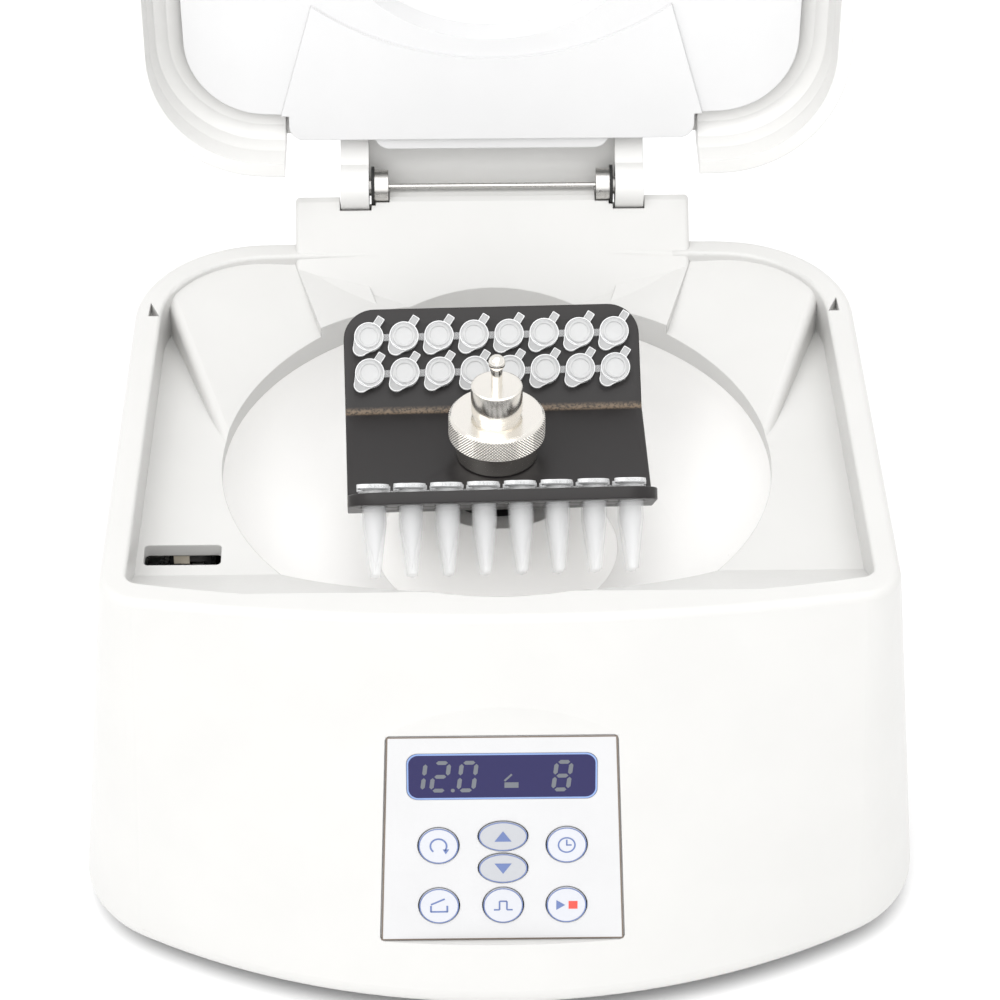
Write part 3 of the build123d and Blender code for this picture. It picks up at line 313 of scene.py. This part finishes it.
# The first group is named as the record's slots; the second is for the lid's shell and the finer pieces
materials = {
    "white_housing": plastic("white_housing", (0.615, 0.611, 0.598)),
    "white_liner": plastic("white_liner", (0.700, 0.700, 0.703)),
    # The bowl's white is set far lighter than the housing's, painted light that lifts the shade in the deep
    # bowl
    "bowl_white": plastic("bowl_white", (0.975, 0.968, 0.955), scale=600, roughness=(0.25, 0.35)),
    "dark_plastic": plastic("dark_plastic", (0.022, 0.022, 0.022), 0.1, 0.4, 1200, 0.2, (0.4, 0.6)),
    "beige_plastic": plastic("beige_plastic", (0.60, 0.54, 0.44), 0.05),
    "rubber_black": plastic("rubber_black", (0.016, 0.016, 0.016), 0.1, 0.3, 1500, 0.2, (0.6, 0.8)),
    "steel": metal("steel", (0.60, 0.59, 0.57), (0.22, 0.34)),
    "nickel": metal("nickel", NICKEL, (0.10, 0.16), edge=0.15, scale=300, strength=0.01),
    "anodised_black": plate_with_painted_bend_highlight(),
    "tube_clear": clear_plastic("tube_clear", 0.27, 0.12),
    "cap_white": clear_plastic("cap_white", 0.30, 0.25),
    "panel_film": plastic("panel_film", (0.588, 0.588, 0.594), scale=1500),
    "key_film": plastic("key_film", (0.565, 0.575, 0.610), scale=1500),
    "key_grey": plastic("key_grey", (0.44, 0.45, 0.475), scale=1500),
    "display_glass": display_glass(),
    "board_green": plastic("board_green", (0.02, 0.12, 0.05), 0.1),
    "copper": metal("copper", (0.5, 0.2, 0.08), (0.3, 0.4), scale=900, strength=0.1),

    # The lid's shell is a lighter copy of the housing's white, painted light that lifts its shaded skirt
    "white_lid_painted_light": plastic("white_lid_painted_light", (0.74, 0.736, 0.722)),
    "nickel_turned": turned_metal(),
    # The cap's rim is the same clear plastic, made whiter and more opaque as painted highlight
    "cap_edge": clear_plastic("cap_edge", 0.74, 0.25),
    "cap_disc": clear_plastic("cap_disc", 0.66, 0.30, 0.67),
    "ink_blue": print_and_shadow_colour("ink_blue", (0.12, 0.17, 0.36)),
    "ink_red": print_and_shadow_colour("ink_red", (0.72, 0.07, 0.05)),
    "segment_grey": print_and_shadow_colour("segment_grey", (0.13, 0.14, 0.16)),
    "border_blue": print_and_shadow_colour("border_blue", (0.22, 0.32, 0.58)),
    # Painted shadow of the gap round the control film
    "film_edge": print_and_shadow_colour("film_edge", (0.15, 0.115, 0.09), 0.1),
}
for part in frame["record"]["subparts"]:
    mesh = nodes[part["node"]].data
    mesh.materials.clear()
    # The lid's shell takes the lighter copy of the housing's white, painted light
    finish = "white_lid_painted_light" if part["node"] == "lid_shell" else part["material_slot"]
    mesh.materials.append(materials[finish])


# Mesh helpers, in millimetres

def new_piece(name, shape, material_name, body, smooth=False):
    """A mesh piece from millimetre points that rides on a body."""
    vertices, faces = shape
    mesh = bpy.data.meshes.new(name)
    mesh.from_pydata([Vector(v) * MM for v in vertices], [], faces)
    mesh.materials.append(materials[material_name])
    if smooth:
        mesh.polygons.foreach_set("use_smooth", [True] * len(faces))
    mesh.validate()
    piece = bpy.data.objects.new(name, mesh)
    bpy.context.scene.collection.objects.link(piece)
    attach(piece, body)
    return piece


def mark_sharp(shape, angle):
    """Keeps edges sharper than angle (degrees) crisp in a smooth mesh."""
    for edge in shape.edges:
        edge.smooth = not (edge.is_manifold and edge.calc_face_angle(0) > radians(angle))


def sharpen(piece, angle):
    """Turns a smooth piece's faces outward and keeps its sharp edges crisp."""
    shape = bmesh.new()
    shape.from_mesh(piece.data)
    bmesh.ops.recalc_face_normals(shape, faces=shape.faces)
    mark_sharp(shape, angle)
    shape.to_mesh(piece.data)
    shape.free()


def lathe(profile, steps):
    """Vertices and faces of a closed profile (radius, height) turned about Z."""
    vertices = [(r * cos(2 * pi * i / steps), r * sin(2 * pi * i / steps), z)
                for i in range(steps) for r, z in profile]
    count = len(profile)
    faces = [(i * count + k, (i + 1) % steps * count + k, (i + 1) % steps * count + (k + 1) % count,
              i * count + (k + 1) % count) for i in range(steps) for k in range(count)]
    return vertices, faces


def join_shapes(shapes):
    """One list of vertices and faces from several."""
    vertices, faces = [], []
    for more_vertices, more_faces in shapes:
        start = len(vertices)
        vertices += more_vertices
        faces += [tuple(start + i for i in face) for face in more_faces]
    return vertices, faces


def moved(shape, matrix):
    vertices, faces = shape
    return [tuple(matrix @ Vector(v)) for v in vertices], faces


def prism(loop, low, high):
    """A closed solid between two heights over a plane loop."""
    count = len(loop)
    vertices = [(x, y, low) for x, y in loop] + [(x, y, high) for x, y in loop]
    sides = [(i, (i + 1) % count, count + (i + 1) % count, count + i) for i in range(count)]
    return vertices, [tuple(reversed(range(count))), tuple(range(count, 2 * count))] + sides


def arc(cx, cy, rx, ry, start, end, steps):
    """Points on an arc of an ellipse, angles in degrees."""
    return [(cx + rx * cos(radians(start + (end - start) * i / steps)),
             cy + ry * sin(radians(start + (end - start) * i / steps))) for i in range(steps + 1)]


def ellipse(rx, ry, steps, cx=0, cy=0):
    return arc(cx, cy, rx, ry, 0, 360, steps)[:-1]


def rounded_rectangle(half_x, half_y, r, steps=8):
    loop = []
    for quarter, (sx, sy) in enumerate(((1, 1), (-1, 1), (-1, -1), (1, -1))):
        loop += arc(sx * (half_x - r), sy * (half_y - r), r, r, 90 * quarter, 90 * quarter + 90, steps)
    return loop


def rectangle(x0, y0, x1, y1):
    return [(x0, y0), (x1, y0), (x1, y1), (x0, y1)]


# Printed marks and painted shadow: flat shapes a hair above a surface

def sheet(loop):
    return [(x, y, INK_T) for x, y in loop], [tuple(range(len(loop)))]


def band(outer, inner, closed=True):
    """The strip between two lines or loops with as many points."""
    count = len(outer)
    vertices = [(x, y, INK_T) for x, y in outer + inner]
    steps = count if closed else count - 1
    return vertices, [(i, (i + 1) % count, count + (i + 1) % count, count + i) for i in range(steps)]


def stroke(x0, y0, x1, y1, width):
    turn = atan2(y1 - y0, x1 - x0)
    dx = -sin(turn) * width / 2
    dy = cos(turn) * width / 2
    return sheet([(x0 - dx, y0 - dy), (x1 - dx, y1 - dy), (x1 + dx, y1 + dy), (x0 + dx, y0 + dy)])


def middle(values):
    return (min(values) + max(values)) / 2


def face_place(node):
    """The plane on a panel node's outer face: origin at its centre, X right, Y up the panel, Z out of it."""
    across = Vector((1, 0, 0))
    up = Vector((0, sin(PANEL_TILT), cos(PANEL_TILT)))
    normal = Vector((0, -cos(PANEL_TILT), sin(PANEL_TILT)))
    points = [v.co / MM for v in nodes[node].data.vertices]
    centre = (middle([p.x for p in points]) * across + middle([p @ up for p in points]) * up
              + max(p @ normal for p in points) * normal)
    return Matrix.Translation(centre) @ Matrix((across, up, normal)).transposed().to_4x4()


def mark(name, shapes, node, material_name):
    shape = moved(join_shapes(shapes), face_place(node))
    new_piece(name, shape, material_name, body_of_node[node])


def digit(value, x):
    """A seven-segment digit about x, leaning a little to the right."""
    half = DIGIT_LINE / 2
    half_w = DIGIT_W / 2 - half
    half_h = DIGIT_H / 2 - half
    ends = {"a": (-half_w, half_h, half_w, half_h),
            "b": (half_w, 0, half_w, half_h),
            "c": (half_w, -half_h, half_w, 0),
            "d": (-half_w, -half_h, half_w, -half_h),
            "e": (-half_w, -half_h, -half_w, 0),
            "f": (-half_w, 0, -half_w, half_h),
            "g": (-half_w, 0, half_w, 0)}
    shapes = []
    for name in SEGMENTS[value]:
        x0, y0, x1, y1 = ends[name]
        turn = atan2(y1 - y0, x1 - x0)
        reach = (abs(x1 - x0) + abs(y1 - y0) - DIGIT_GAP) / 2
        loop = [(-reach, 0), (-reach + half, -half), (reach - half, -half),
                (reach, 0), (reach - half, half), (-reach + half, half)]
        points = [((x0 + x1) / 2 + px * cos(turn) - py * sin(turn),
                   (y0 + y1) / 2 + px * sin(turn) + py * cos(turn)) for px, py in loop]
        shapes.append(sheet([(x + px + DIGIT_LEAN * py, py) for px, py in points]))
    return shapes


def small_lid():
    """The display's little picture of an open lid."""
    return [sheet(rectangle(0.6, -3.2, 4.0, -1.7)), stroke(0.6, -1.3, 2.4, 0.5, 0.5)]


def display_marks():
    segments = [shape for value, x in DIGITS for shape in digit(value, x)]
    point = sheet(ellipse(POINT_R, POINT_R, POINT_STEPS, *POINT_PLACE))
    mark("display_digits", segments + [point] + small_lid(), "display_window", "segment_grey")
    half_x = DISPLAY_HALF[0] - BORDER_INSET
    half_y = DISPLAY_HALF[1] - BORDER_INSET
    outer = rounded_rectangle(half_x, half_y, DISPLAY_R)
    inner = rounded_rectangle(half_x - BORDER_SIDE_W, half_y - BORDER_TOP_W, DISPLAY_R - BORDER_SIDE_W)
    mark("display_border", [band(outer, inner)], "display_window", "border_blue")


def painted_gap_shadow_band():
    """A dark band round the control film, painted shadow of the gap round it, which is a little wider at its
    foot.
    """
    points = [v.co / MM for v in nodes["control_overlay"].data.vertices]
    heights = [p.z for p in points]
    foot_half = max(p.x for p in points)
    top_half = max(p.x for p in points if p.z > max(heights) - FILM_CORNER_H)
    half_height = (max(heights) - min(heights)) / 2 / cos(PANEL_TILT) - GAP_SHADOW_INSET
    outer = [(-foot_half, -half_height), (foot_half, -half_height),
             (top_half, half_height), (-top_half, half_height)]
    inner = [(x - copysign(GAP_SHADOW_W, x), y - copysign(GAP_SHADOW_W, y)) for x, y in outer]
    mark("control_film_edge", [band(outer, inner)], "control_overlay", "film_edge")


def key_ring(rx, ry):
    outer = ellipse(rx, ry, KEY_RING_STEPS)
    inner = ellipse(rx - KEY_RING_W, ry - KEY_RING_W, KEY_RING_STEPS)
    return band(outer, inner)


def round_arrow():
    """A turning arrow for speed."""
    outer, inner = (arc(0, 0, r, r, -40, 230, ARROW_STEPS) for r in (ICON_R, ICON_R - ICON_LINE))
    head = sheet([(1.0, -0.9), (2.6, -0.9), (1.75, -2.3)])
    return [band(outer, inner, closed=False), head]


def clock():
    inner_r = ICON_R - CLOCK_LINE
    ring = band(ellipse(ICON_R, ICON_R, CLOCK_STEPS), ellipse(inner_r, inner_r, CLOCK_STEPS))
    return [ring, stroke(0, -0.1, 0, 1.5, CLOCK_LINE), stroke(-0.1, 0, 1.2, 0, CLOCK_LINE)]


def open_lid():
    lines = ((-2.1, -1.6, 2.1, -1.6), (-2.0, -1.7, -2.0, 0.1), (2.0, -1.7, 2.0, 0.1), (-2.0, 0.4, 1.4, 2.0))
    return [stroke(*line, ICON_LINE) for line in lines]


def square_pulse():
    points = [(-2.3, -1.2), (-0.9, -1.2), (-0.9, 1.2), (0.9, 1.2), (0.9, -1.2), (2.3, -1.2)]
    return [stroke(*a, *b, PULSE_LINE) for a, b in zip(points, points[1:])]


def start_triangle():
    return [sheet([(-2.5, -1.4), (-2.5, 1.4), (-0.3, 0)])]


def up_or_down(sign):
    return sheet([(-2.1, -1.4 * sign), (2.1, -1.4 * sign), (0, 1.5 * sign)][::sign])


def panel_marks():
    icons = {"speed_key": round_arrow(), "time_key": clock(), "door_key": open_lid(),
             "pulse_key": square_pulse(), "start_key": start_triangle()}
    for key, shapes in icons.items():
        mark(key + "_outline", [key_ring(KEY_R, KEY_R)] + shapes, key, "ink_blue")
    mark("start_key_stop", [sheet(rectangle(0.5, -1.1, 2.7, 1.1))], "start_key", "ink_red")
    for key, sign in (("up_key", 1), ("down_key", -1)):
        mark(key + "_outline", [key_ring(*OVAL_HALF), up_or_down(sign)], key, "ink_blue")


# Rotor: knurled nut, bent plate, caps

def knurl():
    """A band of pyramids cut by two crossing helices, with chamfered ends; its faces follow the valleys."""
    low = PLATE_TOP + RING_H
    around = 4 * KNURL_TEETH
    high = 4 * KNURL_ROWS
    vertices, faces = [], []

    def height(u):
        return abs(2 * (u % 1) - 1)

    for j in range(high + 1):
        z = KNURL_H * j / high
        chamfer = min(z, KNURL_H - z, KNURL_CHAMFER)
        for i in range(around):
            relief = min(height((i + j) / 4), height((i - j) / 4))
            r = min(KNURL_R - KNURL_DEPTH * (1 - relief), KNURL_R - KNURL_CHAMFER + chamfer)
            turn = 2 * pi * i / around
            vertices.append((r * cos(turn), r * sin(turn), low + z))
    for j in range(high):
        for i in range(around):
            a = j * around + i
            b = j * around + (i + 1) % around
            c = b + around
            d = a + around
            if (i - j) % 4 in (0, 2):
                faces += [(a, b, c), (a, c, d)]
            else:
                faces += [(a, b, d), (b, c, d)]
    for ring, z, flip in ((0, low, 1), (high, low + KNURL_H, -1)):
        start = len(vertices)
        vertices += [(x, y, z) for x, y in ellipse(KNURL_BORE_R, KNURL_BORE_R, around)]
        for i in range(around):
            k = (i + 1) % around
            faces.append((ring * around + i, start + i, start + k, ring * around + k)[::flip])
    return vertices, faces


def turned_nut():
    """The nut's plain ring, its core under the knurl and its turned boss."""
    low = PLATE_TOP
    ring_top = low + RING_H
    shoulder = ring_top + KNURL_H + KNURL_GAP
    waist_top = shoulder + BOSS_WAIST_H
    top = low + NUT_H
    profile = [(THREAD_R, low), (RING_R - RING_CHAMFER, low), (RING_R, low + RING_CHAMFER),
               (RING_R, ring_top), (CORE_R, ring_top), (CORE_R, shoulder - 0.1), (CORE_R - 0.2, shoulder),
               (BOSS_WAIST_R, shoulder), (BOSS_WAIST_R, waist_top), (BOSS_R, waist_top + 0.4),
               (BOSS_R, top - BOSS_ROUND), (BOSS_R - 0.1, top - 0.2), (BOSS_R - BOSS_ROUND, top),
               (NECK_R, top), (NECK_R, low + THREAD_L + 1), (THREAD_R, low + THREAD_L)]
    return lathe(profile, NUT_STEPS)


def knurled_nut():
    body = body_of_node["rotor_nut"]
    new_piece("knurled_ring", knurl(), "nickel", body)
    nut = new_piece("turned_nut", turned_nut(), "nickel_turned", body, smooth=True)
    sharpen(nut, NUT_SHARP_ANGLE)
    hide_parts("rotor_nut")


def flat_plate():
    """The plate before bending: a filled 2D curve with its holes and softened edges."""
    curve = bpy.data.curves.new("flat_plate", "CURVE")
    curve.dimensions = "2D"
    curve.fill_mode = "BOTH"
    curve.bevel_mode = "ROUND"
    curve.extrude = PLATE_T / 2 - PLATE_EDGE_R
    curve.bevel_depth = PLATE_EDGE_R
    curve.bevel_resolution = 2
    curve.offset = -PLATE_EDGE_R
    loops = [rounded_rectangle(PLATE_W / 2, BEND_Y + WING_L, WING_CORNER_R, WING_CORNER_STEPS)]
    for side in (-1, 1):
        for up in ROW_UP_WING.values():
            for i in range(TUBES):
                x = (i - (TUBES - 1) / 2) * TUBE_PITCH
                loops.append(ellipse(TUBE_HOLE_R, TUBE_HOLE_R, TUBE_HOLE_STEPS, x, side * (BEND_Y + up)))
    loops.append(ellipse(CENTRE_HOLE_R, CENTRE_HOLE_R, CENTRE_HOLE_STEPS))
    for loop in loops:
        spline = curve.splines.new("POLY")
        spline.points.add(len(loop) - 1)
        for point, (x, y) in zip(spline.points, loop):
            point.co = (x, y, 0, 1)
        spline.use_cyclic_u = True
    holder = bpy.data.objects.new("flat_plate", curve)
    bpy.context.scene.collection.objects.link(holder)
    bpy.context.view_layer.update()
    mesh = bpy.data.meshes.new_from_object(holder.evaluated_get(bpy.context.evaluated_depsgraph_get()))
    bpy.data.objects.remove(holder)
    return mesh


def bend(point, side):
    """Where a point of the flat plate goes when its wing is folded up along an arc."""
    along = side * point.y
    if along <= BEND_START:
        return Vector((point.x, point.y, PLATE_TOP - PLATE_T / 2 + point.z))
    turn = min((along - BEND_START) / BEND_R, WING_ANGLE)
    rest = max(along - BEND_START - BEND_R * WING_ANGLE, 0)
    # The arc's centre lies BEND_R above the plate's upper face
    radius = BEND_R + PLATE_T / 2 - point.z
    y = BEND_START + radius * sin(turn) + rest * cos(turn)
    z = BEND_R - radius * cos(turn) + rest * sin(turn)
    return Vector((point.x, side * y, PLATE_TOP + z))


def bent_plate():
    mesh = flat_plate()
    shape = bmesh.new()
    shape.from_mesh(mesh)
    bmesh.ops.remove_doubles(shape, verts=shape.verts, dist=1e-4)
    for side in (-1, 1):
        for step in range(BEND_STEPS + 1):
            y = side * (BEND_START + BEND_R * WING_ANGLE * step / BEND_STEPS)
            geometry = shape.verts[:] + shape.edges[:] + shape.faces[:]
            bmesh.ops.bisect_plane(shape, geom=geometry, dist=1e-5, plane_co=(0, y, 0), plane_no=(0, 1, 0))
    turn = Matrix.Rotation(ROTOR_TURN, 4, "Z")
    for vertex in shape.verts:
        vertex.co = turn @ bend(vertex.co, 1 if vertex.co.y > 0 else -1) * MM
    bmesh.ops.recalc_face_normals(shape, faces=shape.faces)
    for face in shape.faces:
        face.smooth = True
    mark_sharp(shape, SHARP_ANGLE)
    shape.to_mesh(mesh)
    shape.free()
    mesh.name = "bent_plate"
    mesh.materials.append(materials["anodised_black"])
    plate = bpy.data.objects.new("bent_plate", mesh)
    bpy.context.scene.collection.objects.link(plate)
    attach(plate, body_of_node["rotor_plate"])
    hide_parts("rotor_plate")


def wing_place(side, up):
    """The frame on a wing's upper face, with X across; side is 1 for the rear wing."""
    origin = Vector((0, side * (BEND_Y + up * cos(WING_ANGLE)), PLATE_TOP + up * sin(WING_ANGLE)))
    z_axis = Vector((0, -side * sin(WING_ANGLE), cos(WING_ANGLE)))
    x_axis = Vector((side, 0, 0))
    rows = Matrix((x_axis, z_axis.cross(x_axis), z_axis)).transposed().to_4x4()
    return Matrix.Rotation(ROTOR_TURN, 4, "Z") @ Matrix.Translation(origin) @ rows


def outline_band(loop):
    """The thin raised lip just inside a plane loop, drawn towards the loop's middle."""
    low = FLANGE_LOW - 0.05
    high = FLANGE_HIGH + 0.1
    count = len(loop)
    centre = Vector((sum(x for x, y in loop) / count, sum(y for x, y in loop) / count))
    inner = []
    for x, y in loop:
        towards = (centre - Vector((x, y))).normalized() * LIP_W
        inner.append((x + towards.x, y + towards.y))
    vertices = [(x, y, low) for x, y in loop] + [(x, y, high) for x, y in loop]
    vertices += [(x, y, high) for x, y in inner] + [(x, y, low) for x, y in inner]
    faces = []
    for i in range(count):
        k = (i + 1) % count
        for ring in range(4):
            following = (ring + 1) % 4
            faces.append((ring * count + i, ring * count + k, following * count + k, following * count + i))
    return vertices, faces


def cap_plug():
    """The cap's plug and its crown, which is dished in the middle."""
    crown_z = CAP_T - 0.1
    dish_z = CAP_T - CAP_DISH
    profile = [(0, -PLUG_L), (PLUG_R, -PLUG_L), (PLUG_R, 0), (CAP_CROWN_R - 0.1, 0), (CAP_CROWN_R, 0.15),
               (CAP_CROWN_R, crown_z - 0.2), (CAP_CROWN_R - 0.2, crown_z), (CAP_CROWN_R - 0.55, crown_z),
               (CAP_CROWN_R - 0.75, dish_z), (0, dish_z)]
    return lathe(profile, CAP_STEPS)


def tab_loop():
    low = CAP_R - 0.2
    high = CAP_R + TAB_L
    narrow = TAB_HALF_W - TAB_CHAMFER
    return [(-TAB_HALF_W, low), (TAB_HALF_W, low), (TAB_HALF_W, high - TAB_CHAMFER), (narrow, high),
            (-narrow, high), (-TAB_HALF_W, high - TAB_CHAMFER)]


def lobe_loop():
    """The thumb lobe: a round tip that widens to meet the flange."""
    return arc(0, LOBE_REACH, LOBE_R, LOBE_R, 12, 168, 16) + LOBE_ROOT


def cap_shapes(side):
    """One cap in three finishes: the plug, the thin flange with its tab and lobe, and their lips, whiter and
    more opaque as painted highlight.
    """
    flange = lathe([(CAP_CROWN_R, FLANGE_LOW), (CAP_R, FLANGE_LOW),
                    (CAP_R, FLANGE_HIGH), (CAP_CROWN_R, FLANGE_HIGH)], CAP_STEPS)
    highlight_lip = lathe([(CAP_R - LIP_W, FLANGE_LOW - 0.1), (CAP_R, FLANGE_LOW - 0.05),
                 (CAP_R, FLANGE_HIGH + 0.15), (CAP_R - LIP_W, FLANGE_HIGH + 0.2)], CAP_STEPS)
    turn = 0 if side > 0 else pi
    thin = [flange]
    highlight_lips = [highlight_lip]
    for loop, swing in ((tab_loop(), turn - TAB_SWING), (lobe_loop(), turn + pi - LOBE_SWING)):
        place = Matrix.Rotation(swing, 4, "Z")
        thin.append(moved(prism(loop, FLANGE_LOW, FLANGE_HIGH), place))
        highlight_lips.append(moved(outline_band(loop), place))
    return cap_plug(), join_shapes(thin), join_shapes(highlight_lips)


def cap_strip(name, side, up):
    body = body_of_node["strip_caps_" + name]
    places = [wing_place(side, up) @ Matrix.Translation(((i - (TUBES - 1) / 2) * TUBE_PITCH, 0, CAP_SEAT))
              for i in range(TUBES)]
    finishes = (("cap_plugs_", "cap_disc"), ("cap_flanges_", "cap_white"), ("cap_edges_", "cap_edge"))
    for (prefix, material_name), shape in zip(finishes, cap_shapes(side)):
        row = join_shapes([moved(shape, place) for place in places])
        piece = new_piece(prefix + name, row, material_name, body, smooth=True)
        sharpen(piece, SHARP_ANGLE)
        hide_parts("strip_caps_" + name)


# Stage

def studio_floor():
    bpy.ops.mesh.primitive_plane_add(size=FLOOR_SIZE, location=(0, 0, 0))
    floor = bpy.context.object
    floor.name = "floor"
    paper = plastic("floor", (0.97, 0.97, 0.97), 0.005, edge=0, scale=40, strength=0.02, roughness=(0.7, 0.9))
    floor.data.materials.append(paper)


def studio_light():
    world = bpy.data.worlds.new("studio")
    bpy.context.scene.world = world
    world.use_nodes = True
    background = world.node_tree.nodes["Background"]
    background.inputs["Color"].default_value = (1, 1, 1, 1)
    background.inputs["Strength"].default_value = WORLD_STRENGTH
    for name, place, size, power in LAMPS:
        light = bpy.data.lights.new(name, "AREA")
        light.size = size
        light.energy = power
        lamp = bpy.data.objects.new(name, light)
        bpy.context.scene.collection.objects.link(lamp)
        lamp.location = place
        lamp.rotation_euler = (Vector(LAMP_AIM) - Vector(place)).to_track_quat("-Z", "Y").to_euler()
    bpy.context.scene.view_settings.view_transform = "Standard"


def camera():
    data = bpy.data.cameras.new("camera")
    data.sensor_width = CAMERA_SENSOR
    data.lens = CAMERA_LENS
    eye = bpy.data.objects.new("camera", data)
    bpy.context.scene.collection.objects.link(eye)
    eye.location = CAMERA_PLACE
    eye.rotation_euler = CAMERA_TURN
    bpy.context.scene.camera = eye


display_marks()
painted_gap_shadow_band()
panel_marks()
knurled_nut()
bent_plate()
for wing, wing_side in (("rear", 1), ("front", -1)):
    for row_name, row_up in ROW_UP_WING.items():
        cap_strip(wing + "_" + row_name, wing_side, row_up)
studio_floor()
studio_light()
camera()
